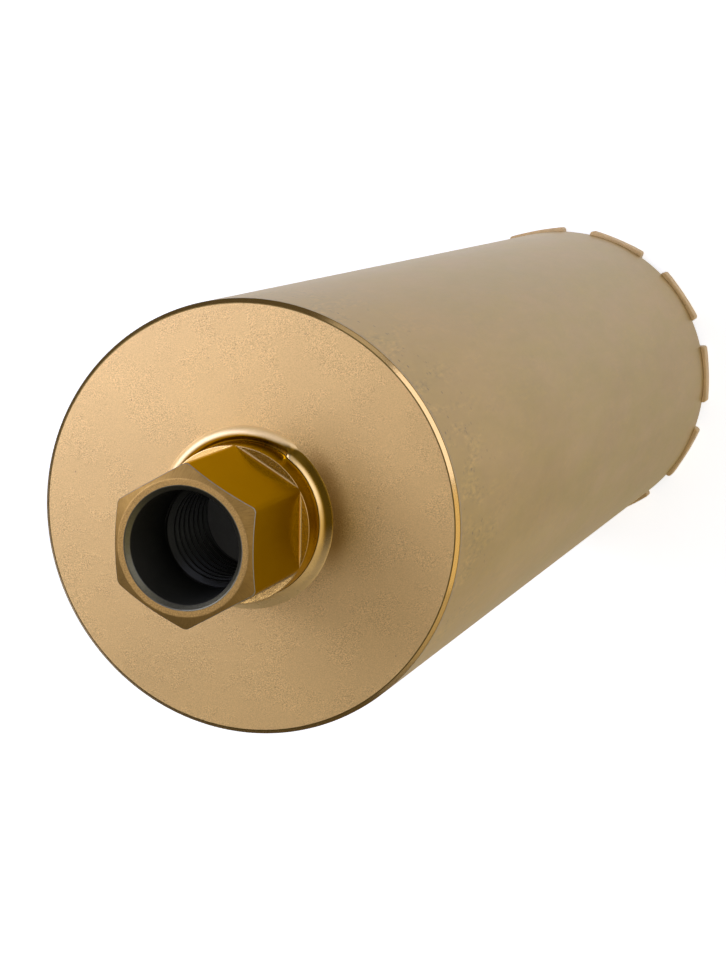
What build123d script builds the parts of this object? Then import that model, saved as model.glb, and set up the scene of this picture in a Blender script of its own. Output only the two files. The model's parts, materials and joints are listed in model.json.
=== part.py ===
"""Diamond core bit for drilling round holes in concrete and masonry.

A steel tube carries a crown of diamond segments on one end and a turned end
plate with a hexagonal, internally threaded hub on the other. The bit stands on
its segments: the origin is on the drill axis at the cutting face, and +Z runs
up through the hub. All sizes are millimetres and degrees.
"""

import os
from math import radians, tan

from build123d import *

os.makedirs("parts", exist_ok=True)

# Barrel: a plain steel tube
barrel_diameter = 130.0
barrel_wall = 2.5
barrel_length = 400.0
barrel_edge_break = 0.3

# Crown: pressed segments, a little flatter than the tube that they sit on
segment_count = 11
segment_length = 25.0
segment_height = 7.0
segment_thickness = 4.5
segment_outer_overhang = 1.3
segment_face_radius = 120.0
segment_corner_radius = 1.3
crown_phase = 6.2

# End plate: a turned disc whose spigot centres it in the tube
plate_thickness = 6.0
plate_rim_land = 1.0
plate_rim_chamfer = 1.4
plate_spigot_chamfer = 0.8
plate_spigot_clearance = 0.1

# Hub: a round bar, milled to a hexagon above its collar and bored right through
hub_bar_diameter = 46.7
hub_across_flats = 41.0
hub_collar_height = 11.0
hub_hexagon_length = 39.0
hub_nose_land_diameter = 38.8
hub_nose_angle = 32.0
hub_spigot_diameter = 40.0
hub_spigot_clearance = 0.1
hub_end_chamfer = 1.0

# Socket for the drill spindle: a plain counterbore, then a 1-1/4" - 7 UNC thread
socket_diameter = 32.0
socket_depth = 25.9
socket_mouth_chamfer = 1.4
thread_minor_diameter = 28.4
thread_seat_angle = 45.0

# Weld bead between the hub's collar and the plate
weld_width = 4.6
weld_height = 1.9
weld_root_height = 1.25
weld_crest_inset = 1.3
weld_crest_width = 1.4
weld_flank_drop = 0.8
weld_flank_width = 1.2

# Radii and heights that follow from the sizes above
barrel_radius = barrel_diameter / 2
barrel_bore_radius = barrel_radius - barrel_wall
hub_bar_radius = hub_bar_diameter / 2
hub_spigot_radius = hub_spigot_diameter / 2
hub_nose_land_radius = hub_nose_land_diameter / 2
socket_radius = socket_diameter / 2
thread_minor_radius = thread_minor_diameter / 2

barrel_bottom = segment_height
barrel_top = barrel_bottom + barrel_length
plate_face = barrel_top + plate_rim_land + plate_rim_chamfer
plate_underside = plate_face - plate_thickness
hub_shoulder = plate_face + hub_collar_height
hub_top = hub_shoulder + hub_hexagon_length


def barrel():
    """The tube, with its sharp edges broken at both ends."""
    with BuildPart() as tube:
        with BuildSketch(Plane.XY.offset(barrel_bottom)):
            Circle(barrel_radius)
            Circle(barrel_bore_radius, mode=Mode.SUBTRACT)
        extrude(amount=barrel_length)
        chamfer(tube.edges().group_by(Axis.Z)[0], barrel_edge_break)
    return tube.part


def end_plate():
    """The disc that closes the tube: its rim rests on the tube's end."""
    hole_radius = hub_spigot_radius + hub_spigot_clearance
    spigot_radius = barrel_bore_radius - plate_spigot_clearance
    with BuildPart() as plate:
        with BuildSketch(Plane.XZ):
            with BuildLine():
                Polyline(
                    (hole_radius, plate_underside),
                    (spigot_radius - plate_spigot_chamfer, plate_underside),
                    (spigot_radius, plate_underside + plate_spigot_chamfer),
                    (spigot_radius, barrel_top),
                    (barrel_radius, barrel_top),
                    (barrel_radius, barrel_top + plate_rim_land),
                    (barrel_radius - plate_rim_chamfer, plate_face),
                    (hole_radius, plate_face),
                    close=True,
                )
            make_face()
        revolve(axis=Axis.Z)
    return plate.part


def hub():
    """The hub: turned and bored to one profile, then milled to a hexagon."""
    nose_drop = (hub_bar_radius - hub_nose_land_radius) * tan(radians(hub_nose_angle))
    seat_top = hub_top - socket_depth
    seat_drop = (socket_radius - thread_minor_radius) * tan(radians(thread_seat_angle))
    with BuildPart() as body:
        with BuildSketch(Plane.XZ):
            with BuildLine():
                Polyline(
                    (thread_minor_radius + hub_end_chamfer, plate_underside),
                    (hub_spigot_radius, plate_underside),
                    (hub_spigot_radius, plate_face),
                    (hub_bar_radius, plate_face),
                    (hub_bar_radius, hub_top - nose_drop),
                    (hub_nose_land_radius, hub_top),
                    (socket_radius + socket_mouth_chamfer, hub_top),
                    (socket_radius, hub_top - socket_mouth_chamfer),
                    (socket_radius, seat_top),
                    (thread_minor_radius, seat_top - seat_drop),
                    (thread_minor_radius, plate_underside + hub_end_chamfer),
                    close=True,
                )
            make_face()
        revolve(axis=Axis.Z)
        with BuildSketch(Plane.XY.offset(hub_shoulder)):
            Circle(hub_bar_diameter)
            RegularPolygon(hub_across_flats / 2, 6, major_radius=False, mode=Mode.SUBTRACT)
        extrude(amount=hub_hexagon_length, mode=Mode.SUBTRACT)
    return body.part


def hub_weld():
    """The bead in the corner of collar and plate: its crown falls in two flanks to the toe."""
    toe_radius = hub_bar_radius + weld_width
    crest_inner_radius = hub_bar_radius + weld_crest_inset
    crest_outer_radius = crest_inner_radius + weld_crest_width
    with BuildPart() as bead:
        with BuildSketch(Plane.XZ):
            with BuildLine():
                Polyline(
                    (hub_bar_radius, plate_face),
                    (hub_bar_radius, plate_face + weld_root_height),
                    (crest_inner_radius, plate_face + weld_height),
                    (crest_outer_radius, plate_face + weld_height),
                    (crest_outer_radius + weld_flank_width, plate_face + weld_height - weld_flank_drop),
                    (toe_radius, plate_face),
                    close=True,
                )
            make_face()
        revolve(axis=Axis.Z)
    return bead.part


def segment(angle):
    """One segment of the crown, seated on the tube's end at an angle about the axis."""
    face_centre = barrel_radius + segment_outer_overhang - segment_face_radius
    with BuildPart() as block:
        with BuildSketch(Plane.XY.rotated((0, 0, angle))) as footprint:
            with Locations((face_centre, 0)):
                Circle(segment_face_radius)
                Circle(segment_face_radius - segment_thickness, mode=Mode.SUBTRACT)
            with Locations((barrel_radius, 0)):
                Rectangle(segment_length, segment_length, mode=Mode.INTERSECT)
            fillet(footprint.vertices(), segment_corner_radius)
        extrude(amount=segment_height)
    return block.part


def save(part, name):
    """Label a finished piece and write it to its own STEP file."""
    part.label = name
    export_step(part, f"parts/{name}.step")


save(barrel(), "barrel")
save(end_plate(), "end_plate")
save(hub(), "hub")
save(hub_weld(), "hub_weld")
for number in range(segment_count):
    save(segment(crown_phase + number * 360 / segment_count), f"segment_{number + 1:02d}")
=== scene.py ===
"""Looks for a diamond core bit: paint, machined steel, thread, weld bead and diamond segments.

The file is laid out as an add-on. Each operator builds one piece, or one group of like pieces, round the
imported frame, and the last one builds the stage. All lengths are metres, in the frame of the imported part: the
bit stands on its segments at z = 0, with the drill axis along z and one corner of its hexagon towards +x.
"""

import json
import math

import bmesh
import bpy
import numpy as np
from bpy.props import FloatProperty, FloatVectorProperty, IntProperty, PointerProperty
from mathutils import Matrix, Vector, noise


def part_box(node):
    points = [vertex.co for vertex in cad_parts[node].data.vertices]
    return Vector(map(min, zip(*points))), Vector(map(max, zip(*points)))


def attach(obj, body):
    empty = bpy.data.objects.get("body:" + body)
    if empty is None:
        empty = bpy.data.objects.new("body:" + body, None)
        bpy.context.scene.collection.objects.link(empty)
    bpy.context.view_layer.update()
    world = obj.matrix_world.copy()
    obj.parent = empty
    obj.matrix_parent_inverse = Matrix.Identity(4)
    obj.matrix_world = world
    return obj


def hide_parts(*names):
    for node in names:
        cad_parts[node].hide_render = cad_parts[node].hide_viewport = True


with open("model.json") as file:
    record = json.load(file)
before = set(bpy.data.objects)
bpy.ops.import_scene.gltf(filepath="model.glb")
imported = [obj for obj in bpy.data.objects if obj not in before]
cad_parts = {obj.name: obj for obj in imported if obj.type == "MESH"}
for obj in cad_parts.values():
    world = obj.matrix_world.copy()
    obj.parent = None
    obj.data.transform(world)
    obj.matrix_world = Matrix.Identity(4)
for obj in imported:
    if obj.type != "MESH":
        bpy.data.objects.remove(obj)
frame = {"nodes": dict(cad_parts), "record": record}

bl_info = {
    "name": "Diamond core bit",
    "version": (1, 0, 0),
    "blender": (4, 5, 0),
    "location": "View3D > Sidebar > Core Bit",
    "description": "Builds the finish of a diamond core bit round its packed frame",
    "category": "Object",
}

BODY = "root"
SHEEN_SIDE = (0.57, 0.82, 0.0)  # the side of the tube on which the coat is made heavier: a painted sheen that makes that side paler
HUB_SHADOW_SIDE = (0.95, -0.31, 0.0)  # the side of the hub on which its shadow is painted on the plate beside the weld
MM = 0.001
TURN = 2 * math.pi

# Places that the frame gives: heights of the pieces, and radii of the hub and its socket.
MOUNTS = {mount["name"]: mount for mount in frame["record"]["mounts"]}
BARREL_LOW, BARREL_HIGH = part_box("barrel")
PLATE_LOW, PLATE_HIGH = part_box("end_plate")
HUB_LOW, HUB_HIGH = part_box("hub")
BARREL_RADIUS = 65 * MM
HUB_RADIUS = HUB_HIGH.x
SOCKET_RADIUS = MOUNTS["spindle_socket"]["dims"]["r_mm"] * MM
SOCKET_LENGTH = MOUNTS["spindle_socket"]["dims"]["length_mm"] * MM
THREAD_MINOR_RADIUS = MOUNTS["spindle_thread"]["dims"]["r_mm"] * MM
HALF_ACROSS_FLATS = MOUNTS["spanner_flat_left"]["pos_m"][1]
SEGMENTS = sorted(node for node in frame["nodes"] if node.startswith("segment_"))


def length(name, description, default_mm):
    """A length property, shown in the scene's own units."""
    return FloatProperty(
        name=name, description=description, default=default_mm * MM, min=0.0, subtype="DISTANCE"
    )


def colour(name, description, default):
    """A colour property, in linear light."""
    return FloatVectorProperty(
        name=name, description=description, default=default, min=0.0, max=1.0, size=3, subtype="COLOR"
    )


class CoreBitSizes(bpy.types.PropertyGroup):
    """Sizes that the frame does not hold."""

    barrel_wall: length("Barrel wall", "Wall thickness of the tube", 2.5)
    edge_round: length("Edge rounding", "Rounding of the tube's and the plate's turned edges", 0.15)
    rim_land: length("Rim land", "Height of the plate's straight rim above the tube", 1.15)
    rim_chamfer: length("Rim chamfer", "Width of the chamfer round the plate", 1.25)
    spigot_gap: length("Spigot gap", "Clearance of each spigot in its bore", 0.1)
    hub_spigot_radius: length("Hub spigot radius", "Radius of the hub where it stands in the plate", 20.0)
    collar_height: length("Collar height", "Height of the round collar under the hexagon", 11.0)
    nose_land_radius: length("Nose land radius", "Outer radius of the flat land at the mouth", 19.4)
    nose_angle: FloatProperty(
        name="Nose angle", description="Slope of the turned nose", default=math.radians(32), subtype="ANGLE"
    )
    mouth_chamfer: length("Mouth chamfer", "Chamfer at the socket's mouth", 1.4)
    end_chamfer: length("End chamfer", "Chamfer at the thread's inner end", 1.0)
    thread_pitch: length("Thread pitch", "Pitch of the seven-to-the-inch thread", 25.4 / 7)
    thread_major_radius: length("Thread major radius", "Radius at the roots of the thread", 15.8)
    thread_root: length("Thread root", "Width of the flat at the roots of the thread", 0.45)
    segment_length: length("Segment length", "Length of a segment", 25.0)
    segment_thickness: length("Segment thickness", "Thickness of a segment", 4.5)
    segment_overhang: length("Segment overhang", "How far a segment stands out of the tube", 1.3)
    segment_face_radius: length("Segment face radius", "Radius of a segment's outer face", 120.0)
    segment_corner: length("Segment corner", "Radius of a segment's upright corners", 1.3)
    segment_edge: length("Segment edge", "Rounding of a segment's other edges", 0.7)
    segment_unevenness: length("Segment unevenness", "How uneven the sintered faces are", 0.09)
    crown_phase: FloatProperty(
        name="Crown phase", description="Angle of the first segment",
        default=math.radians(6.2), subtype="ANGLE",
    )
    columns: IntProperty(
        name="Columns", description="Faces round the tube and the plate", default=256, min=32
    )


class CoreBitColours(bpy.types.PropertyGroup):
    """Colours of the finishes."""

    barrel: colour("Barrel paint", "Smooth champagne-gold paint on the tube", (0.385, 0.25, 0.112))
    barrel_olive: colour("Barrel olive", "Olive clouds in the tube's paint", (0.36, 0.248, 0.08))
    barrel_warm: colour("Barrel, warm", "Amber tone of the tube near the plate", (0.41, 0.25, 0.065))
    plate: colour("Plate paint", "Pale gold paint on the blasted plate", (0.63, 0.395, 0.135))
    flats: colour("Hexagon paint", "Deep amber paint on the milled flats", (0.43, 0.30, 0.015))
    segment: colour("Segment paint", "Amber paint on the segments", (0.81, 0.555, 0.255))
    edge: colour("Worn edge", "Bright steel where the hub's edges have lost their paint", (0.26, 0.235, 0.19))
    steel: colour("Mouth steel", "Steel of the mouth's chamfer", (0.115, 0.105, 0.07))
    nose: colour("Turned nose", "Thin paint over the turned nose", (0.33, 0.19, 0.05))
    land: colour("Nose land", "Speckled paint on the land round the mouth", (0.385, 0.225, 0.065))
    socket: colour("Socket steel", "Dark oiled steel inside the hub", (0.042, 0.040, 0.030))
    inside: colour("Tube inside", "Dull steel inside the tube", (0.32, 0.31, 0.29))
    # Painted highlight: the bead's paint is made paler than the plate's, so that its crests and the broad part's
    # outer slope show bright.
    crest: colour("Weld crest", "Pale paint along the crest of the weld", (0.82, 0.56, 0.23))
    # Painted shade: the colour that darkens the weld's groove and, on one side, the steep wall of its narrow
    # part.
    seam: colour("Weld seam", "Dark paint in the groove and the steep wall of the weld", (0.2, 0.105, 0.008))
    # Painted shadow: the hub's shadow on the plate beside the weld on one side, warm with the gold that the
    # flats reflect into it.
    hub_shadow: colour("Browned paint", "Thin paint that the weld's heat browned", (0.2, 0.085, 0.004))
    line: colour("Rim line", "Thin paint along the edges of the rim", (0.18, 0.112, 0.03))
    speck: colour("Speck", "Dark specks in the paint", (0.10, 0.062, 0.03))


# --------------------------------------------------------------------------------------------- shader maths


class Wire:
    """A number or colour on its way through a material: Python's operators add Math nodes to it."""

    def __init__(self, recipe, socket):
        self.recipe = recipe
        self.socket = socket

    def maths(self, operation, first, second):
        """One Math node."""
        return self.recipe.node("ShaderNodeMath", {"operation": operation}, {0: first, 1: second})

    def __add__(self, other):
        return self.maths("ADD", self, other)

    def __sub__(self, other):
        return self.maths("SUBTRACT", self, other)

    def __rsub__(self, other):
        return self.maths("SUBTRACT", other, self)

    def __mul__(self, other):
        return self.maths("MULTIPLY", self, other)

    def __truediv__(self, other):
        return self.maths("DIVIDE", self, other)

    __radd__ = __add__
    __rmul__ = __mul__


class Recipe:
    """A node material under construction."""

    def __init__(self, owner):
        owner.use_nodes = True
        self.tree = owner.node_tree
        self.tree.nodes.clear()

    def node(self, kind, settings=None, inputs=None, output=0):
        """Adds a node: its settings first, then the values or links of its sockets."""
        made = self.tree.nodes.new(kind)
        for key, value in (settings or {}).items():
            setattr(made, key, value)
        for key, value in (inputs or {}).items():
            if isinstance(value, Wire):
                self.tree.links.new(value.socket, made.inputs[key])
            else:
                made.inputs[key].default_value = value
        return Wire(self, made.outputs[output]) if made.outputs else None

    def place(self):
        """The point's own place on the object, in metres."""
        return self.node("ShaderNodeTexCoord", output="Object")

    def grain(self, where, size, detail=2.0, roughness=0.5):
        """Noise from 0 to 1 with features of the given size."""
        settings = {"noise_dimensions": "3D"}
        inputs = {"Vector": where, "Scale": 1 / size, "Detail": detail, "Roughness": roughness}
        return self.node("ShaderNodeTexNoise", settings, inputs)

    def cells(self, where, size):
        """Distance from the nearest of many scattered points, in units of the given size."""
        inputs = {"Vector": where, "Scale": 1 / size, "Randomness": 1.0}
        return self.node("ShaderNodeTexVoronoi", {"feature": "F1"}, inputs, "Distance")

    def scaled(self, where, factors):
        """A vector with each of its parts multiplied by its own factor."""
        return self.node("ShaderNodeVectorMath", {"operation": "MULTIPLY"}, {0: where, 1: factors})

    def size(self, where):
        """Length of a vector."""
        return self.node("ShaderNodeVectorMath", {"operation": "LENGTH"}, {0: where}, "Value")

    def towards(self, where, side):
        """How far a place lies towards one side."""
        inputs = {0: where, 1: side}
        return self.node("ShaderNodeVectorMath", {"operation": "DOT_PRODUCT"}, inputs, "Value")

    def part(self, where, axis):
        """One part of a place: its X, Y or Z."""
        return self.node("ShaderNodeSeparateXYZ", None, {0: where}, axis)

    def off_axis(self, where):
        """Distance of a place from the bit's axis."""
        return self.size(self.scaled(where, (1.0, 1.0, 0.0)))

    def step(self, value, low, high):
        """A soft step from 0 at low to 1 at high."""
        inputs = {"Value": value, "From Min": low, "From Max": high}
        return self.node("ShaderNodeMapRange", {"interpolation_type": "SMOOTHSTEP"}, inputs)

    def mix(self, factor, first, second):
        """The first colour where the factor is 0 and the second where it is 1."""
        first, second = (shade if isinstance(shade, Wire) else (*shade, 1.0) for shade in (first, second))
        # The node's colours are its inputs 6 and 7, and output 2 is their mix.
        return self.node("ShaderNodeMix", {"data_type": "RGBA"}, {0: factor, 6: first, 7: second}, 2)

    def tint(self, shade, amount):
        """A colour made lighter or darker by a number that varies about 1."""
        grey = self.node("ShaderNodeCombineXYZ", None, {0: amount, 1: amount, 2: amount})
        return self.scaled(shade if isinstance(shade, Wire) else (*shade,), grey)

    def bump(self, height, distance):
        """A bumped normal: height runs from 0 to 1 over the given distance."""
        return self.node("ShaderNodeBump", None, {"Height": height, "Distance": distance, "Strength": 1.0})

    def surface(self, **inputs):
        """The Principled shader and the material's output."""
        named = {key.replace("_", " ").title().replace("Ior", "IOR"): value for key, value in inputs.items()}
        self.end(self.node("ShaderNodeBsdfPrincipled", None, named, "BSDF"))

    def end(self, shader, kind="ShaderNodeOutputMaterial"):
        """Ends the material, or the world, in the given shader."""
        self.node(kind, None, {"Surface": shader})


def new_material(name):
    """An empty node material and its recipe."""
    made = bpy.data.materials.new(name)
    return made, Recipe(made)


def specks(recipe, where, size, share):
    """Scattered dots: 1 inside a dot. A larger share gives larger dots."""
    chance = recipe.grain(where, size * 2.3, 1.0)
    return recipe.step(share - recipe.cells(where, size), 0.0, 0.08) * recipe.step(chance, 0.56, 0.66)


def textured_paint(name, colours, metallic, roughness, coat):
    """Gold paint over blasted steel: a sandy grain with smooth patches, drifts of pits, and a painted shadow of
    the hub beside the weld.
    """
    made, recipe = new_material(name)
    where = recipe.place()
    clouds = recipe.grain(where, 22 * MM, 3.0)
    drifts = recipe.step(recipe.grain(where, 9 * MM, 4.0, 0.6), 0.40, 0.58)
    fine = recipe.grain(where, 0.36 * MM, 1.0)
    sand = recipe.grain(where, 0.9 * MM, 2.0)
    pits = specks(recipe, where, 0.6 * MM, 0.24) * (drifts * 0.85 + 0.15)
    dots = specks(recipe, where, 4.5 * MM, 0.08)
    grain = ((fine - 0.5) * 1.25 + (sand - 0.5) * 0.15) * (drifts * 0.65 + 0.35)
    out = recipe.off_axis(where) - HUB_RADIUS
    # Painted shadow: on one side of the hub the plate is darkened towards the hub-shadow colour from half a
    # millimetre to about 11 millimetres off the collar, and its coat is thinned there.
    beside = recipe.step(recipe.towards(where, HUB_SHADOW_SIDE) / recipe.off_axis(where), 0.7, 0.97)
    hub_shadow = beside * recipe.step(out, 0.5 * MM, 1.5 * MM) * (1 - recipe.step(out, 4.5 * MM, 11 * MM))
    base = recipe.tint(colours.plate, 1.0 + (clouds - 0.5) * 0.18 + grain)
    base = recipe.mix(hub_shadow * 0.7, base, colours.hub_shadow)
    base = recipe.mix(pits * 0.55, base, colours.speck)
    base = recipe.mix(dots * 0.8, base, colours.speck)
    height = fine * 0.7 + sand * 0.3 - pits * 0.5
    normal = recipe.bump(height * (drifts * 0.5 + 0.5), 0.08 * MM)
    recipe.surface(
        base_color=base,
        metallic=metallic,
        roughness=roughness + grain * 0.15,
        normal=normal,
        specular_tint=(1.0, 0.85, 0.6, 1.0),
        coat_weight=(1 + grain * 1.3 - pits * 0.4) * (1 - hub_shadow * 0.9) * coat if coat else 0.0,
        coat_roughness=0.36,
        coat_ior=2.0,
    )
    return made


def smooth_paint(name, shade, roughness, coat):
    """Glossy gold paint where the steel under it is smooth: the turned rim and the hub's fillet."""
    made, recipe = new_material(name)
    where = recipe.place()
    clouds = recipe.grain(where, 5 * MM, 2.0)
    fine = recipe.grain(where, 0.5 * MM, 2.0)
    base = recipe.tint(shade, 1.0 + (clouds - 0.5) * 0.16 + (fine - 0.5) * 0.14)
    normal = recipe.bump(fine * 0.3 + clouds * 0.7, 0.03 * MM)
    recipe.surface(
        base_color=base,
        metallic=0.95,
        roughness=roughness + (clouds - 0.5) * 0.1,
        normal=normal,
        coat_weight=coat,
        coat_roughness=roughness,
        coat_ior=1.8,
    )
    return made


def weld_paint(shade, seam):
    """Soft pale paint over the weld: a painted highlight on its crests, painted shade in its groove and down the
    narrow part's wall.
    """
    made, recipe = new_material("weld_paint")
    where = recipe.place()
    clouds = recipe.grain(where, 5 * MM, 2.0)
    fine = recipe.grain(where, 0.5 * MM, 2.0)
    out = recipe.off_axis(where) - HUB_RADIUS
    north = recipe.part(where, "Y")
    narrow = 1 - recipe.step(north, 4 * MM, 18 * MM)
    # Painted light and shade: the crests and the broad part's outer slope keep the pale colour as a painted
    # highlight; the groove a little and, on one side only, the narrow part's steep wall take the dark colour as
    # painted shade, with a thinner coat there.
    outer = recipe.step(out - narrow * (2.6 * MM), 1.5 * MM, 3.1 * MM)
    inner = (1 - recipe.step(out, 0.55 * MM, 1.5 * MM)) * (1 - recipe.step(north, 12 * MM, 17 * MM))
    cover = recipe.step(north, -24 * MM, 2 * MM) * 0.3 + 0.5
    steep = (1 - outer) * recipe.step(north, -23 * MM, -12 * MM)
    painted_shade = (1 - inner * cover) * (steep * 0.85 + (1 - outer) * 0.15)
    base = recipe.tint(shade, 1.0 + (clouds - 0.5) * 0.16 + (fine - 0.5) * 0.16)
    base = recipe.mix(painted_shade, base, seam)
    normal = recipe.bump(fine * 0.3 + clouds * 0.7, 0.05 * MM)
    recipe.surface(
        base_color=base,
        metallic=steep * 0.7 + 0.3,
        roughness=0.28 + (clouds - 0.5) * 0.1 + outer * 0.1,
        normal=normal,
        coat_weight=(1 - painted_shade) * 0.4,
        coat_roughness=0.3,
        coat_ior=1.8,
    )
    return made


def barrel_paint(name, colours):
    """Satin paint on the ground tube: clouds and marks drawn out along it, warmer near the plate, with a painted
    sheen on one side.
    """
    made, recipe = new_material(name)
    where = recipe.place()
    drawn = recipe.scaled(where, (1.0, 1.0, 0.3))
    clouds = recipe.grain(drawn, 20 * MM, 3.0)
    tones = recipe.grain(drawn, 11 * MM, 4.0, 0.6)
    marks = recipe.grain(drawn, 1.2 * MM, 4.0, 0.65)
    worn = recipe.step(recipe.grain(drawn, 8 * MM, 3.0), 0.44, 0.62)
    height_up = recipe.part(where, "Z")
    near = recipe.step(height_up, BARREL_HIGH.z - 60 * MM, BARREL_HIGH.z)
    dots = specks(recipe, where, 2.2 * MM, 0.26) * (near * 0.9 + 0.1)
    blots = recipe.grain(drawn, 4 * MM, 3.0, 0.6)
    level = 1.0 + (clouds - 0.5) * 0.3 + (blots - 0.5) * 0.22
    level = level + (marks - 0.5) * (worn * (near * 1.4 + 0.35) + 0.12)
    base = recipe.mix(recipe.step(tones, 0.3, 0.7), colours.barrel, colours.barrel_olive)
    base = recipe.mix(recipe.step(height_up, 0.18, 0.46) * 0.65, base, colours.barrel_warm)
    base = recipe.mix(dots * 0.85, recipe.tint(base, level), colours.speck)
    normal = recipe.bump(marks * (worn * 0.8 + 0.2), 0.03 * MM)
    roughness = 0.34 + (marks - 0.5) * 0.1 + clouds * 0.14
    # Painted sheen: the coat is made heavier on one side of the tube, which paints that side paler and whiter.
    side = recipe.towards(where, SHEEN_SIDE)
    painted_sheen = recipe.step(side + (clouds - 0.5) * 30 * MM, -60 * MM, 45 * MM)
    recipe.surface(
        base_color=base,
        metallic=0.8,
        roughness=roughness,
        normal=normal,
        specular_tint=(0.5, 0.42, 0.22, 1.0),
        coat_weight=0.02 + painted_sheen * 0.42,
        coat_roughness=0.28,
    )
    return made


def hexagon_paint(shade):
    """Deep, smooth paint on the milled flats and the collar."""
    made, recipe = new_material("hexagon_paint")
    where = recipe.place()
    clouds = recipe.grain(where, 14 * MM, 2.0)
    fine = recipe.grain(where, 0.5 * MM, 2.0)
    base = recipe.tint(shade, 0.90 + clouds * 0.16 + fine * 0.06)
    normal = recipe.bump(fine, 0.008 * MM)
    recipe.surface(
        base_color=base,
        metallic=1.0,
        roughness=0.2 + clouds * 0.06,
        normal=normal,
        specular_tint=(1.0, 0.8, 0.35, 1.0),
    )
    return made


def turned_nose(shade, land_shade, land_radius):
    """The nose: grinding marks that run out over the slope, speckled paint on the flat land."""
    made, recipe = new_material("turned_nose")
    where = recipe.place()
    radius = recipe.off_axis(where)
    east, north = recipe.part(where, "X"), recipe.part(where, "Y")
    angle = north.maths("ARCTAN2", north, east)
    swept = angle * HUB_RADIUS + radius * 0.5
    unrolled = recipe.node("ShaderNodeCombineXYZ", None, {0: swept, 1: radius * 0.2, 2: 0.0})
    marks = recipe.grain(unrolled, 0.45 * MM, 3.0, 0.6)
    fine = recipe.grain(where, 0.45 * MM, 2.0)
    clouds = recipe.grain(where, 5 * MM, 2.0)
    on_slope = recipe.step(radius, land_radius - 0.15 * MM, land_radius + 0.15 * MM)
    slope = recipe.tint(shade, 1.0 + (clouds - 0.5) * 0.5 + (marks - 0.5) * 0.7)
    land = recipe.tint(land_shade, 1.0 + (fine - 0.5) * 1.3 + (clouds - 0.5) * 0.2)
    base = recipe.mix(on_slope, land, slope)
    height = marks * on_slope * 0.6 + fine * (1 - on_slope * 0.6)
    normal = recipe.bump(height, 0.05 * MM)
    recipe.surface(
        base_color=base,
        metallic=0.78,
        roughness=0.54 + (fine - 0.5) * 0.2,
        normal=normal,
        specular_tint=(1.0, 0.8, 0.5, 1.0),
    )
    return made


def bare_steel(name, shade):
    """Steel that the paint has left: the hub's worn edges and the mouth's chamfer."""
    made, recipe = new_material(name)
    where = recipe.place()
    fine = recipe.grain(where, 0.6 * MM, 3.0)
    base = recipe.tint(shade, 0.7 + fine * 0.6)
    normal = recipe.bump(fine, 0.01 * MM)
    recipe.surface(base_color=base, metallic=1.0, roughness=0.36 + fine * 0.12, normal=normal)
    return made


def socket_steel(shade):
    """Dark, oiled steel inside the hub."""
    made, recipe = new_material("socket_steel")
    where = recipe.place()
    fine = recipe.grain(where, 0.9 * MM, 3.0)
    clouds = recipe.grain(where, 8 * MM, 2.0)
    base = recipe.tint(shade, 0.6 + fine * 0.4 + clouds * 0.5)
    normal = recipe.bump(fine, 0.02 * MM)
    recipe.surface(base_color=base, metallic=0.6, roughness=0.28 + fine * 0.12, normal=normal)
    return made


def tube_inside(shade):
    """Dull steel inside the tube and under the plate."""
    made, recipe = new_material("tube_inside")
    where = recipe.place()
    clouds = recipe.grain(where, 30 * MM, 4.0)
    fine = recipe.grain(where, 1.2 * MM, 2.0)
    base = recipe.tint(shade, 0.6 + clouds * 0.6 + fine * 0.2)
    normal = recipe.bump(fine, 0.02 * MM)
    recipe.surface(base_color=base, metallic=0.7, roughness=0.5 + clouds * 0.15, normal=normal)
    return made


def segment_paint(shade, speck):
    """Paint over a sintered segment: diamond grit shows as a coarse grain."""
    made, recipe = new_material("segment_paint")
    where = recipe.place()
    grit = recipe.cells(where, 0.55 * MM)
    clouds = recipe.grain(where, 5 * MM, 3.0)
    dots = specks(recipe, where, 1.6 * MM, 0.16)
    level = 0.72 + clouds * 0.36 + (1 - grit) * 0.14
    base = recipe.mix(dots * 0.6, recipe.tint(shade, level), speck)
    height = (1 - grit) * 0.6 + clouds * 0.4
    normal = recipe.bump(height, 0.06 * MM)
    recipe.surface(base_color=base, metallic=0.12, roughness=0.5 + clouds * 0.14, normal=normal)
    return made


# ---------------------------------------------------------------------------------------------- mesh making


class Corner:
    """A corner of a turned profile, and the finish of the stretch that starts at it."""

    def __init__(self, radius, height, rounding=0.0, finish=0, edge_finish=None):
        self.point = Vector((radius, height))
        self.rounding = rounding
        self.finish = finish
        self.edge_finish = finish if edge_finish is None else edge_finish


ROUND_STEPS = 4
ROUND_REACH = 0.45  # the share of a stretch that the rounding of one end may take
MERGE_DISTANCE = 1e-7
DEGENERATE_EDGE = 1e-8
SHARP_ANGLE = math.radians(38)
FLAT_WEIGHT = 80


def rounded(corners, closed=True):
    """The profile's points with every corner eased, and the finish of the stretch after each point."""
    points, finishes = [], []
    count = len(corners)
    for index, corner in enumerate(corners):
        at_end = not closed and index in (0, count - 1)
        if at_end or corner.rounding == 0:
            points.append(corner.point)
            finishes.append(corner.finish)
            continue
        before = corners[index - 1].point - corner.point
        after = corners[(index + 1) % count].point - corner.point
        reach = min(corner.rounding, ROUND_REACH * before.length, ROUND_REACH * after.length)
        start = corner.point + before.normalized() * reach
        end = corner.point + after.normalized() * reach
        for step in range(ROUND_STEPS + 1):
            t = step / ROUND_STEPS
            points.append(start * (1 - t) ** 2 + corner.point * (2 * t * (1 - t)) + end * t**2)
            finishes.append(corner.finish if step == ROUND_STEPS else corner.edge_finish)
    return points, finishes


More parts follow.
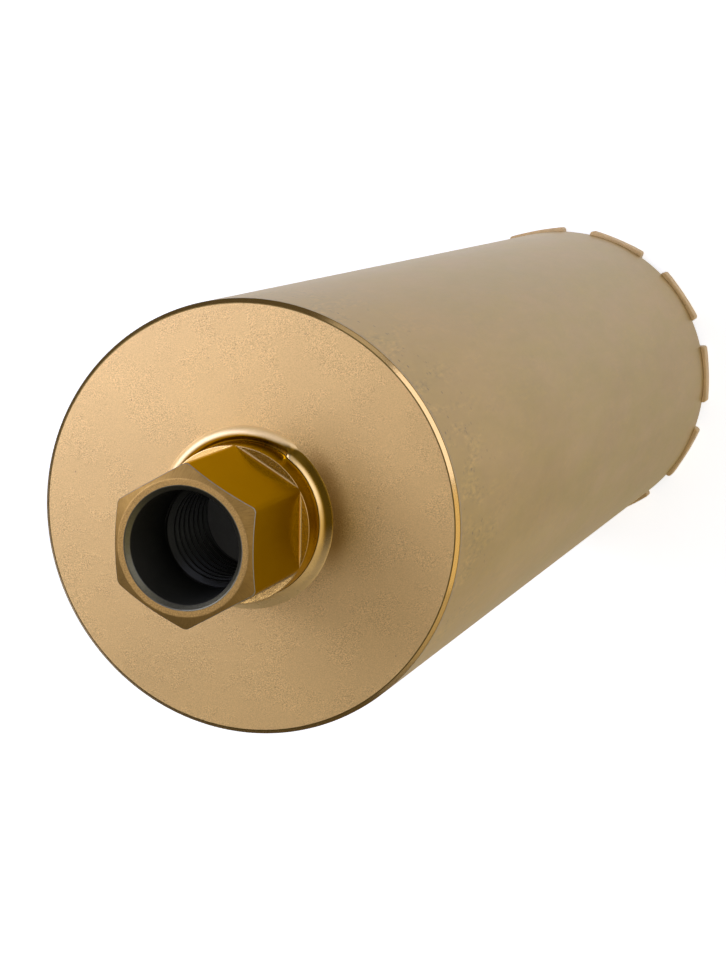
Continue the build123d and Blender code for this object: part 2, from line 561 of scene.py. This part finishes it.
def turned_faces(angles, profile_at, closed=True):
    """Vertices, faces and finishes of a profile carried round the axis."""
    vertices, faces, finishes = [], [], []
    rows = 0
    for angle in angles:
        points, row_finishes = profile_at(angle)
        rows = len(points)
        vertices += [(p.x * math.cos(angle), p.x * math.sin(angle), p.y) for p in points]
    stretches = rows if closed else rows - 1
    for column in range(len(angles)):
        here, there = column * rows, (column + 1) % len(angles) * rows
        for row in range(stretches):
            above = (row + 1) % rows
            faces.append((here + row, there + row, there + above, here + above))
            finishes.append(row_finishes[row])
    return vertices, faces, finishes


def build(name, vertices, faces, finishes, materials):
    """One closed, smooth mesh object in the scene."""
    mesh = bpy.data.meshes.new(name)
    mesh.from_pydata(vertices, [], faces)
    mesh.polygons.foreach_set("material_index", finishes)
    shape = bmesh.new()
    shape.from_mesh(mesh)
    bmesh.ops.remove_doubles(shape, verts=shape.verts, dist=MERGE_DISTANCE)
    bmesh.ops.dissolve_degenerate(shape, edges=shape.edges, dist=DEGENERATE_EDGE)
    bmesh.ops.recalc_face_normals(shape, faces=shape.faces)
    shape.to_mesh(mesh)
    shape.free()
    mesh.shade_smooth()
    mesh.set_sharp_from_angle(angle=SHARP_ANGLE)
    for material in materials:
        mesh.materials.append(material)
    piece = bpy.data.objects.new(name, mesh)
    bpy.context.scene.collection.objects.link(piece)
    return piece


def steady_normals(piece):
    """Keeps wide faces flat in shading beside their rounded edges."""
    modifier = piece.modifiers.new("steady_normals", "WEIGHTED_NORMAL")
    modifier.keep_sharp = True
    modifier.weight = FLAT_WEIGHT


def stands_for(piece, node):
    """Fixes a piece to the body in the place of a node of the frame."""
    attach(piece, BODY)
    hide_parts(node)


def even_angles(count):
    """Angles spread evenly round the axis."""
    return [TURN * index / count for index in range(count)]


# ---------------------------------------------------------------------------------------------- the operators


class COREBIT_OT_barrel(bpy.types.Operator):
    """Builds the steel tube"""

    bl_idname = "core_bit.barrel"
    bl_label = "Barrel"

    PAINT, INSIDE = range(2)

    def execute(self, context):
        sizes, colours = context.scene.core_bit_sizes, context.scene.core_bit_colours
        bore = BARREL_RADIUS - sizes.barrel_wall
        low, high = BARREL_LOW.z, BARREL_HIGH.z
        edge = sizes.edge_round
        corners = [
            Corner(BARREL_RADIUS, low, edge, self.PAINT),
            Corner(BARREL_RADIUS, high, edge, self.INSIDE),
            Corner(bore, high, edge, self.INSIDE),
            Corner(bore, low, edge, self.PAINT),
        ]
        profile = rounded(corners)
        parts = turned_faces(even_angles(sizes.columns), lambda angle: profile)
        materials = [barrel_paint("barrel_paint", colours), tube_inside(colours.inside)]
        piece = build("barrel_tube", *parts, materials)
        steady_normals(piece)
        stands_for(piece, "barrel")
        return {"FINISHED"}


class COREBIT_OT_end_plate(bpy.types.Operator):
    """Builds the turned disc that closes the tube"""

    bl_idname = "core_bit.end_plate"
    bl_label = "End plate"

    PAINT, INSIDE, RIM, LAND, LINE = range(5)
    SPIGOT_CHAMFER = 0.8 * MM
    LAND_ROUND = 0.16 * MM
    FACE_ROUND = 0.22 * MM

    def execute(self, context):
        sizes, colours = context.scene.core_bit_sizes, context.scene.core_bit_colours
        seat, face, under = BARREL_HIGH.z, PLATE_HIGH.z, PLATE_LOW.z
        hole = sizes.hub_spigot_radius + sizes.spigot_gap
        spigot = BARREL_RADIUS - sizes.barrel_wall - sizes.spigot_gap
        edge = sizes.edge_round
        corners = [
            Corner(hole, under, 0, self.INSIDE),
            Corner(spigot - self.SPIGOT_CHAMFER, under, edge, self.INSIDE),
            Corner(spigot, under + self.SPIGOT_CHAMFER, edge, self.INSIDE),
            Corner(spigot, seat, 0, self.INSIDE),
            Corner(BARREL_RADIUS, seat, edge, self.LAND),
            Corner(BARREL_RADIUS, seat + sizes.rim_land, self.LAND_ROUND, self.RIM, self.LINE),
            Corner(BARREL_RADIUS - sizes.rim_chamfer, face, self.FACE_ROUND, self.PAINT, self.LINE),
            Corner(hole, face, 0, self.INSIDE),
        ]
        profile = rounded(corners)
        parts = turned_faces(even_angles(sizes.columns), lambda angle: profile)
        materials = [
            textured_paint("plate_paint", colours, 0.55, 0.42, 0.27),
            tube_inside(colours.inside),
            smooth_paint("rim_paint", colours.plate, 0.18, 0.7),
            barrel_paint("rim_land_paint", colours),
            smooth_paint("rim_edge_paint", colours.line, 0.5, 0.0),
        ]
        piece = build("plate_disc", *parts, materials)
        steady_normals(piece)
        stands_for(piece, "end_plate")
        return {"FINISHED"}


class COREBIT_OT_hub(bpy.types.Operator):
    """Builds the hexagonal hub with its socket and thread"""

    bl_idname = "core_bit.hub"
    bl_label = "Hub"

    PAINT, SHOULDER, FILLET, EDGE, NOSE, STEEL, SOCKET, INSIDE = range(8)
    CORNER_EASE = 0.05 * MM
    SPIGOT_ROUND, COLLAR_ROUND, FILLET_ROUND, EDGE_ROUND = 0.3 * MM, 0.2 * MM, 0.6 * MM, 0.2 * MM
    LAND_ROUND, MOUTH_ROUND, SOCKET_ROUND = 0.3 * MM, 0.25 * MM, 0.3 * MM
    THREAD_FLANK = math.tan(math.radians(30))
    THREAD_EASE = 0.12 * MM
    # Columns on either side of a corner of the hexagon, in degrees from it: close together where it turns.
    BESIDE_CORNER = (
        0.0, 0.4, 0.8, 1.1, 1.4, 1.7, 2.1, 2.6, 3.4, 5.0, 7.5, 10.0, 12.5, 15.0, 17.5, 20.0, 22.5, 25.0, 27.5,
    )
    MID_FLAT = 30.0

    def execute(self, context):
        sizes, colours = context.scene.core_bit_sizes, context.scene.core_bit_colours
        angles = self.column_angles()
        outside = turned_faces(angles, lambda angle: self.outside(sizes, angle), closed=False)
        inside = self.thread(sizes, angles)
        vertices = outside[0] + inside[0]
        shift = len(outside[0])
        faces = outside[1] + [tuple(index + shift for index in face) for face in inside[1]]
        finishes = outside[2] + [self.SOCKET] * len(inside[1])
        materials = [
            hexagon_paint(colours.flats),
            textured_paint("shoulder_paint", colours, 1.0, 0.2, 0.0),
            smooth_paint("fillet_paint", colours.plate, 0.26, 0.4),
            bare_steel("worn_edge", colours.edge),
            turned_nose(colours.nose, colours.land, sizes.nose_land_radius),
            bare_steel("mouth_steel", colours.steel),
            socket_steel(colours.socket),
            tube_inside(colours.inside),
        ]
        piece = build("hub_body", vertices, faces, finishes, materials)
        steady_normals(piece)
        stands_for(piece, "hub")
        return {"FINISHED"}

    def column_angles(self):
        """Columns round the hub: wide steps on the flats, fine ones at the six corners."""
        before = [-offset for offset in reversed(self.BESIDE_CORNER[1:])]
        offsets = [*before, *self.BESIDE_CORNER, self.MID_FLAT]
        return sorted(
            math.radians(60 * corner + offset) % TURN for corner in range(6) for offset in offsets
        )

    def hexagon_radius(self, angle):
        """Distance from the axis to the milled flat or, at the corners, to the bar's round surface."""
        off_flat = (angle % (TURN / 6)) - TURN / 12
        flat = HALF_ACROSS_FLATS / math.cos(off_flat)
        nearest, ease = min(flat, HUB_RADIUS), self.CORNER_EASE
        blend = math.exp((nearest - flat) / ease) + math.exp((nearest - HUB_RADIUS) / ease)
        return nearest - ease * math.log(blend)

    def socket_floor(self):
        """Height at which the plain socket ends and the seat of the thread starts."""
        socket = MOUNTS["spindle_socket"]
        return socket["pos_m"][2] - SOCKET_LENGTH / 2

    def outside(self, sizes, angle):
        """The hub's profile at one angle, from its inner end round the outside to the socket's floor."""
        under, face, top = HUB_LOW.z, PLATE_HIGH.z, HUB_HIGH.z
        shoulder = face + sizes.collar_height
        milled = self.hexagon_radius(angle)
        drop = (milled - sizes.nose_land_radius) * math.tan(sizes.nose_angle)
        mouth = SOCKET_RADIUS + sizes.mouth_chamfer
        corners = [
            Corner(self.bore_radius(sizes, angle, under), under, 0, self.INSIDE),
            Corner(sizes.hub_spigot_radius, under, self.SPIGOT_ROUND, self.INSIDE),
            Corner(sizes.hub_spigot_radius, face, 0, self.PAINT),
            Corner(HUB_RADIUS, face, 0, self.PAINT),
            Corner(HUB_RADIUS, shoulder, self.COLLAR_ROUND, self.SHOULDER, self.FILLET),
            Corner(milled, shoulder, self.FILLET_ROUND, self.PAINT, self.FILLET),
            Corner(milled, top - drop, self.EDGE_ROUND, self.NOSE, self.EDGE),
            Corner(sizes.nose_land_radius, top, self.LAND_ROUND, self.NOSE),
            Corner(mouth, top, self.MOUTH_ROUND, self.STEEL),
            Corner(SOCKET_RADIUS, top - sizes.mouth_chamfer, self.SOCKET_ROUND, self.SOCKET),
            Corner(SOCKET_RADIUS, self.socket_floor(), 0, self.SOCKET),
        ]
        return rounded(corners, closed=False)

    def thread_section(self, sizes):
        """Lengths along the bore of the thread's crest and of one of its flanks."""
        flank = (sizes.thread_major_radius - THREAD_MINOR_RADIUS) * self.THREAD_FLANK
        return sizes.thread_pitch - sizes.thread_root - 2 * flank, flank

    def bore_radius(self, sizes, angle, height):
        """Radius of the threaded bore: the thread, or the chamfer that cuts it away at either end."""
        minor, major = THREAD_MINOR_RADIUS, sizes.thread_major_radius
        seat = SOCKET_RADIUS - (self.socket_floor() - height)
        end = minor + sizes.end_chamfer - (height - HUB_LOW.z)
        crest, flank = self.thread_section(sizes)
        phase = (height / sizes.thread_pitch - angle / TURN) % 1.0 * sizes.thread_pitch
        places = [0, crest, crest + flank, crest + flank + sizes.thread_root, sizes.thread_pitch]
        groove = float(np.interp(phase, places, [minor, minor, major, major, minor]))
        return max(groove, seat, end)

    def thread(self, sizes, angles):
        """A ribbon one pitch wide, wound up the bore, with its ends cut flat at the bore's ends."""
        pitch = sizes.thread_pitch
        low, high = HUB_LOW.z, self.socket_floor()
        crest, flank = self.thread_section(sizes)
        ease = self.THREAD_EASE
        groove = crest + flank
        marks = [0, ease, crest - ease, crest, groove - ease, groove, groove + sizes.thread_root]
        marks += [groove + sizes.thread_root + ease, pitch]
        first, last = math.floor(low / pitch) - 1, math.ceil(high / pitch)
        around = list(angles) + [TURN]
        vertices, faces = [], []
        for turn in range(first, last + 1):
            start = len(vertices)
            for angle in around:
                for mark in marks:
                    height = min(max((turn + angle / TURN) * pitch + mark, low), high)
                    radius = self.bore_radius(sizes, angle, height)
                    vertices.append((radius * math.cos(angle), radius * math.sin(angle), height))
            rows = len(marks)
            for column in range(len(around) - 1):
                here, there = start + column * rows, start + (column + 1) * rows
                for row in range(rows - 1):
                    faces.append((here + row, here + row + 1, there + row + 1, there + row))
        return vertices, faces


class COREBIT_OT_weld(bpy.types.Operator):
    """Builds the weld bead round the hub's collar"""

    bl_idname = "core_bit.weld"
    bl_label = "Weld bead"

    # Two sections of the bead, as places out from the collar and above the plate, in millimetres: the
    # broad one that the welder ended with, and the narrow, steeper one that they started with.
    BROAD = (
        (0.0, 0.9), (0.35, 0.75), (0.7, 1.0), (1.1, 1.45), (1.6, 1.76), (2.2, 1.8), (2.8, 1.66),
        (3.4, 1.38), (4.05, 0.92), (4.65, -0.15),
    )
    NARROW = (
        (0.0, 2.25), (0.15, 2.2), (0.4, 2.02), (0.75, 1.7), (1.15, 1.32), (1.65, 0.98), (2.2, 0.7),
        (2.75, 0.45), (3.3, 0.18), (3.75, -0.15),
    )
    BURIED = 0.4
    END_ANGLE = math.radians(27)
    START_ANGLE = math.radians(205)
    FADE = math.radians(3.5)
    END_SHARPNESS = 3  # how many times as quickly the bead changes at its end as at its start
    SWELL, SWELL_RATE = 0.05, 3.1
    WANDER, WANDER_RATE = 0.07, 5.3
    WANDER_PLACE = Vector((7.0, 0.0, 0.0))
    COLUMNS = 240

    def execute(self, context):
        colours = context.scene.core_bit_colours
        parts = turned_faces(even_angles(self.COLUMNS), self.section)
        paint = weld_paint(colours.crest, colours.seam)
        piece = build("weld_bead", *parts, [paint])
        smooth = piece.modifiers.new("smooth", "SUBSURF")
        smooth.levels = smooth.render_levels = 2
        stands_for(piece, "hub_weld")
        return {"FINISHED"}

    def section(self, angle):
        """The bead's section at one angle: broad from its end round to its start, narrow in between."""
        past_end = 1 / (1 + math.exp((self.END_ANGLE - angle) / self.FADE * self.END_SHARPNESS))
        before_start = 1 / (1 + math.exp((angle - self.START_ANGLE) / self.FADE))
        broad = past_end * before_start
        around = Vector((math.cos(angle), math.sin(angle), 0.0))
        swell = 1 + self.SWELL * noise.noise(around * self.SWELL_RATE)
        wander = self.WANDER * noise.noise(around * self.WANDER_RATE + self.WANDER_PLACE)
        points = []
        for wide, slim in zip(self.BROAD, self.NARROW):
            out = wide[0] * broad + slim[0] * (1 - broad)
            up = (wide[1] * broad + slim[1] * (1 - broad)) * swell
            points.append(self.place(out + wander * min(out, 1.0), up))
        points.append(self.place(points[-1].x / MM - HUB_RADIUS / MM, -self.BURIED))
        points.append(self.place(0.0, -self.BURIED))
        return points, [0] * len(points)

    @staticmethod
    def place(out, up):
        """A point of the section from its place in millimetres off the collar and above the plate."""
        return Vector((HUB_RADIUS + out * MM, PLATE_HIGH.z + up * MM))


class COREBIT_OT_segments(bpy.types.Operator):
    """Builds the crown of diamond segments"""

    bl_idname = "core_bit.segments"
    bl_label = "Segments"

    STEP = 0.8 * MM
    LUMP = 2.2 * MM
    APART = Vector((5.0, 0.0, 0.0))  # keeps one segment's lumps from looking like the next one's

    def execute(self, context):
        sizes, colours = context.scene.core_bit_sizes, context.scene.core_bit_colours
        paint = segment_paint(colours.segment, colours.speck)
        outline = self.outline(sizes)
        for index, node in enumerate(SEGMENTS):
            turn = Matrix.Rotation(sizes.crown_phase + TURN * index / len(SEGMENTS), 4, "Z")
            vertices, faces = self.block(sizes, outline, turn, index)
            piece = build(f"{node}_diamond", vertices, faces, [0] * len(faces), [paint])
            steady_normals(piece)
            stands_for(piece, node)
        return {"FINISHED"}

    def outline(self, sizes):
        """Footprint of a segment that points along x: places, and the directions out of them."""
        outer, corner = sizes.segment_face_radius, sizes.segment_corner
        inner = outer - sizes.segment_thickness
        centre = Vector((BARREL_RADIUS + sizes.segment_overhang - outer, 0.0))
        straight = sizes.segment_length / 2 - corner
        outer_end = math.asin(straight / (outer - corner))
        inner_end = math.asin(straight / (inner + corner))
        half = []
        for angle in self.spread(0.0, outer_end, outer):
            half.append((centre + self.ray(angle) * outer, self.ray(angle)))
        middle = centre + self.ray(outer_end) * (outer - corner)
        for angle in self.spread(outer_end, math.pi / 2, corner)[1:]:
            half.append((middle + self.ray(angle) * corner, self.ray(angle)))
        middle = centre + self.ray(inner_end) * (inner + corner)
        for angle in self.spread(math.pi / 2, math.pi + inner_end, corner):
            half.append((middle + self.ray(angle) * corner, self.ray(angle)))
        for angle in self.spread(inner_end, 0.0, inner)[1:]:
            half.append((centre + self.ray(angle) * inner, -self.ray(angle)))
        mirrored = [(Vector((p.x, -p.y)), Vector((n.x, -n.y))) for p, n in reversed(half[1:-1])]
        return half + mirrored

    def spread(self, start, end, radius):
        """Angles along an arc, about one step apart."""
        count = max(4, round(abs(end - start) * radius / self.STEP))
        return [start + (end - start) * index / count for index in range(count + 1)]

    @staticmethod
    def ray(angle):
        """Unit vector at an angle."""
        return Vector((math.cos(angle), math.sin(angle)))

    def block(self, sizes, outline, turn, seed):
        """A block over the outline, with eased rims and faces a little uneven."""
        edge, top = sizes.segment_edge, BARREL_LOW.z
        rows = [(edge, 0.0), (edge * 0.3, edge * 0.3), (0.0, edge)]
        levels = max(2, round((top - 2 * edge) / self.STEP))
        rows += [(0.0, edge + (top - 2 * edge) * level / levels) for level in range(1, levels)]
        rows += [(0.0, top - edge), (edge * 0.3, top - edge * 0.3), (edge, top)]
        vertices = []
        for inset, height in rows:
            for point, out in outline:
                place = Vector((*point, height))
                rough = noise.noise(place / self.LUMP + self.APART * seed)
                shift = inset + sizes.segment_unevenness * (0.5 + 0.5 * rough)
                vertices.append(turn @ (place - Vector((*out, 0.0)) * shift))
        count = len(outline)
        faces = [tuple(range(count)), tuple(range(len(vertices) - count, len(vertices)))]
        for row in range(len(rows) - 1):
            here, above = row * count, (row + 1) * count
            for index in range(count):
                following = (index + 1) % count
                faces.append((here + index, here + following, above + following, above + index))
        return [tuple(vertex) for vertex in vertices], faces


class COREBIT_OT_stage(bpy.types.Operator):
    """Builds the floor, the lamps, the sky and the camera"""

    bl_idname = "core_bit.stage"
    bl_label = "Stage"

    CAMERA_PLACE = Vector((0.27394, -0.01549, 1.06407))
    CAMERA_AIM = Vector((-0.03825, -0.00450, 0.20000))
    CAMERA_ROLL = math.radians(-115.64)
    LENS_MM = 89.42
    FLOOR_RADIUS = 6.0
    WHITE, PALE = (1.0, 1.0, 1.0), (1.0, 1.03, 1.25)
    COOL, SOFT, WARM = (0.9, 1.0, 1.62), (0.99, 1.0, 1.22), (1.09, 0.9, 0.42)
    LAMPS = (
        # name, azimuth and elevation in degrees, distance, size, power in watts, tone
        ("near", 118.0, 44.0, 0.5, (0.3, 0.3), 1.12, COOL),
        ("top", 152.0, 62.0, 0.5, (0.3, 0.3), 0.41, SOFT),
        ("low", 128.0, 27.0, 1.0, (0.6, 0.5), 2.2, WHITE),
        ("back", 60.0, 45.0, 1.0, (0.6, 0.6), 0.55, COOL),
        ("strip", 1.0, 24.0, 1.0, (0.8, 0.6), 2.4, PALE),
        ("strip_left", 40.0, 22.0, 1.0, (0.4, 0.5), 0.28, WHITE),
        ("strip_right", -42.0, 24.0, 1.0, (0.66, 0.6), 1.0, WARM),
        ("fill", -78.0, 22.0, 1.0, (0.6, 0.6), 0.5, WARM),
        ("crown", -35.0, 72.0, 0.5, (0.15, 0.15), 0.06, WHITE),
    )
    AIM_HEIGHT = 0.41
    FLOOR_COLUMNS = 64
    # Distances from the axis, in radii of the tube, between which the floor's glow comes up.
    GLOW_FROM, GLOW_TO = 0.93, 0.98
    CARD_COLUMNS = 41
    CARD_SHADE = (0.2, 0.17, 0.085)
    CARD_DISTANCE = 0.8
    CARD_FOOT = 0.02
    # azimuth in degrees, and height of the card's top there
    CARD_TOP = (
        (52.0, 0.64), (72.0, 0.64), (90.0, 0.56), (120.0, 0.47), (168.0, 0.44), (230.0, 0.44), (260.0, 0.5),
    )
    SKY = (1.0, 1.0, 1.0)
    SKY_STRENGTH = 0.2
    FLOOR_SHADE = (0.8, 0.8, 0.8)
    FLOOR_GLOW = 0.7
    # The floor's glow inside the tube is lower: a painted shade on the floor under the bit.
    FLOOR_GLOW_INSIDE = 0.22

    def execute(self, context):
        scene = context.scene
        self.floor(scene)
        self.card(scene)
        self.sky(scene)
        for lamp in self.LAMPS:
            self.lamp(scene, *lamp)
        self.camera(scene)
        scene.view_settings.view_transform = "Standard"
        return {"FINISHED"}

    def floor(self, scene):
        """A pale floor that shows white and still takes the bit's shadow."""
        made, recipe = new_material("pale_floor")
        where = recipe.place()
        low, high = BARREL_RADIUS * self.GLOW_FROM, BARREL_RADIUS * self.GLOW_TO
        outside = recipe.step(recipe.size(where), low, high)
        glowing = outside * (self.FLOOR_GLOW - self.FLOOR_GLOW_INSIDE) + self.FLOOR_GLOW_INSIDE
        camera, glossy, through = (
            recipe.node("ShaderNodeLightPath", output=f"Is {kind} Ray")
            for kind in ("Camera", "Glossy", "Transmission")
        )
        inputs = {"Color": recipe.tint(self.WHITE, glowing), "Strength": camera + glossy + through}
        glow = recipe.node("ShaderNodeEmission", None, inputs)
        matt = recipe.node("ShaderNodeBsdfDiffuse", None, {"Color": (*self.FLOOR_SHADE, 1.0)})
        recipe.end(recipe.node("ShaderNodeAddShader", None, {0: glow, 1: matt}))
        mesh = bpy.data.meshes.new("floor")
        radius, angles = self.FLOOR_RADIUS, even_angles(self.FLOOR_COLUMNS)
        rim = [(radius * math.cos(angle), radius * math.sin(angle), 0.0) for angle in angles]
        mesh.from_pydata(rim, [], [tuple(range(len(rim)))])
        mesh.materials.append(made)
        floor = bpy.data.objects.new("floor", mesh)
        scene.collection.objects.link(floor)

    def card(self, scene):
        """A dark, warm card, curved round the far side and the left, which gives the rim its dark edge."""
        made, recipe = new_material("dark_card")
        recipe.end(recipe.node("ShaderNodeBsdfDiffuse", None, {"Color": (*self.CARD_SHADE, 1.0)}))
        azimuths, tops = zip(*self.CARD_TOP)
        vertices = []
        for azimuth in np.linspace(azimuths[0], azimuths[-1], self.CARD_COLUMNS):
            angle = math.radians(azimuth)
            across = (self.CARD_DISTANCE * math.cos(angle), self.CARD_DISTANCE * math.sin(angle))
            vertices += [(*across, self.CARD_FOOT), (*across, float(np.interp(azimuth, azimuths, tops)))]
        faces = [(2 * i, 2 * i + 2, 2 * i + 3, 2 * i + 1) for i in range(self.CARD_COLUMNS - 1)]
        mesh = bpy.data.meshes.new("card")
        mesh.from_pydata(vertices, [], faces)
        mesh.materials.append(made)
        card = bpy.data.objects.new("card", mesh)
        card.visible_camera = False
        scene.collection.objects.link(card)

    def sky(self, scene):
        """An even, pale sky."""
        world = bpy.data.worlds.new("sky")
        recipe = Recipe(world)
        inputs = {"Color": (*self.SKY, 1.0), "Strength": self.SKY_STRENGTH}
        recipe.end(recipe.node("ShaderNodeBackground", None, inputs), "ShaderNodeOutputWorld")
        scene.world = world

    def lamp(self, scene, name, azimuth, elevation, distance, size, power, tone):
        """A soft box that looks at the middle of the bit."""
        data = bpy.data.lights.new(name, "AREA")
        data.shape = "RECTANGLE"
        data.size, data.size_y = size
        data.energy = power
        data.color = tone
        lamp = bpy.data.objects.new(name, data)
        level = math.cos(math.radians(elevation))
        away = Vector((
            level * math.cos(math.radians(azimuth)),
            level * math.sin(math.radians(azimuth)),
            math.sin(math.radians(elevation)),
        ))
        lamp.location = away * distance + Vector((0.0, 0.0, self.AIM_HEIGHT))
        lamp.rotation_euler = away.to_track_quat("Z", "Y").to_euler()
        lamp.visible_camera = False
        scene.collection.objects.link(lamp)

    def camera(self, scene):
        """The view down onto the hub, rolled so that the bit lies across the picture."""
        data = bpy.data.cameras.new("camera")
        data.sensor_width = 36.0
        data.lens = self.LENS_MM
        camera = bpy.data.objects.new("camera", data)
        scene.collection.objects.link(camera)
        sight = (self.CAMERA_AIM - self.CAMERA_PLACE).to_track_quat("-Z", "Y").to_matrix()
        turned = sight @ Matrix.Rotation(self.CAMERA_ROLL, 3, "Z")
        camera.matrix_world = Matrix.Translation(self.CAMERA_PLACE) @ turned.to_4x4()
        scene.camera = camera


class COREBIT_PT_panel(bpy.types.Panel):
    """Sidebar panel that lists the pieces and their sizes"""

    bl_idname = "COREBIT_PT_panel"
    bl_label = "Core Bit"
    bl_space_type = "VIEW_3D"
    bl_region_type = "UI"
    bl_category = "Core Bit"

    def draw(self, context):
        for operator in OPERATORS:
            self.layout.operator(operator.bl_idname)
        for group in (context.scene.core_bit_sizes, context.scene.core_bit_colours):
            box = self.layout.box()
            for name in group.__annotations__:
                box.prop(group, name)


OPERATORS = (
    COREBIT_OT_barrel,
    COREBIT_OT_end_plate,
    COREBIT_OT_hub,
    COREBIT_OT_weld,
    COREBIT_OT_segments,
    COREBIT_OT_stage,
)
CLASSES = (CoreBitSizes, CoreBitColours, *OPERATORS, COREBIT_PT_panel)


def register():
    """Makes the add-on's classes and settings known to Blender."""
    for cls in CLASSES:
        bpy.utils.register_class(cls)
    bpy.types.Scene.core_bit_sizes = PointerProperty(type=CoreBitSizes)
    bpy.types.Scene.core_bit_colours = PointerProperty(type=CoreBitColours)


def unregister():
    """Takes them away again."""
    del bpy.types.Scene.core_bit_colours
    del bpy.types.Scene.core_bit_sizes
    for cls in reversed(CLASSES):
        bpy.utils.unregister_class(cls)


def main():
    """Builds every piece in order."""
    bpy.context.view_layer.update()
    register()
    for operator in OPERATORS:
        group, name = operator.bl_idname.split(".")
        getattr(getattr(bpy.ops, group), name)()
    bpy.context.view_layer.update()


if __name__ == "__main__":
    main()
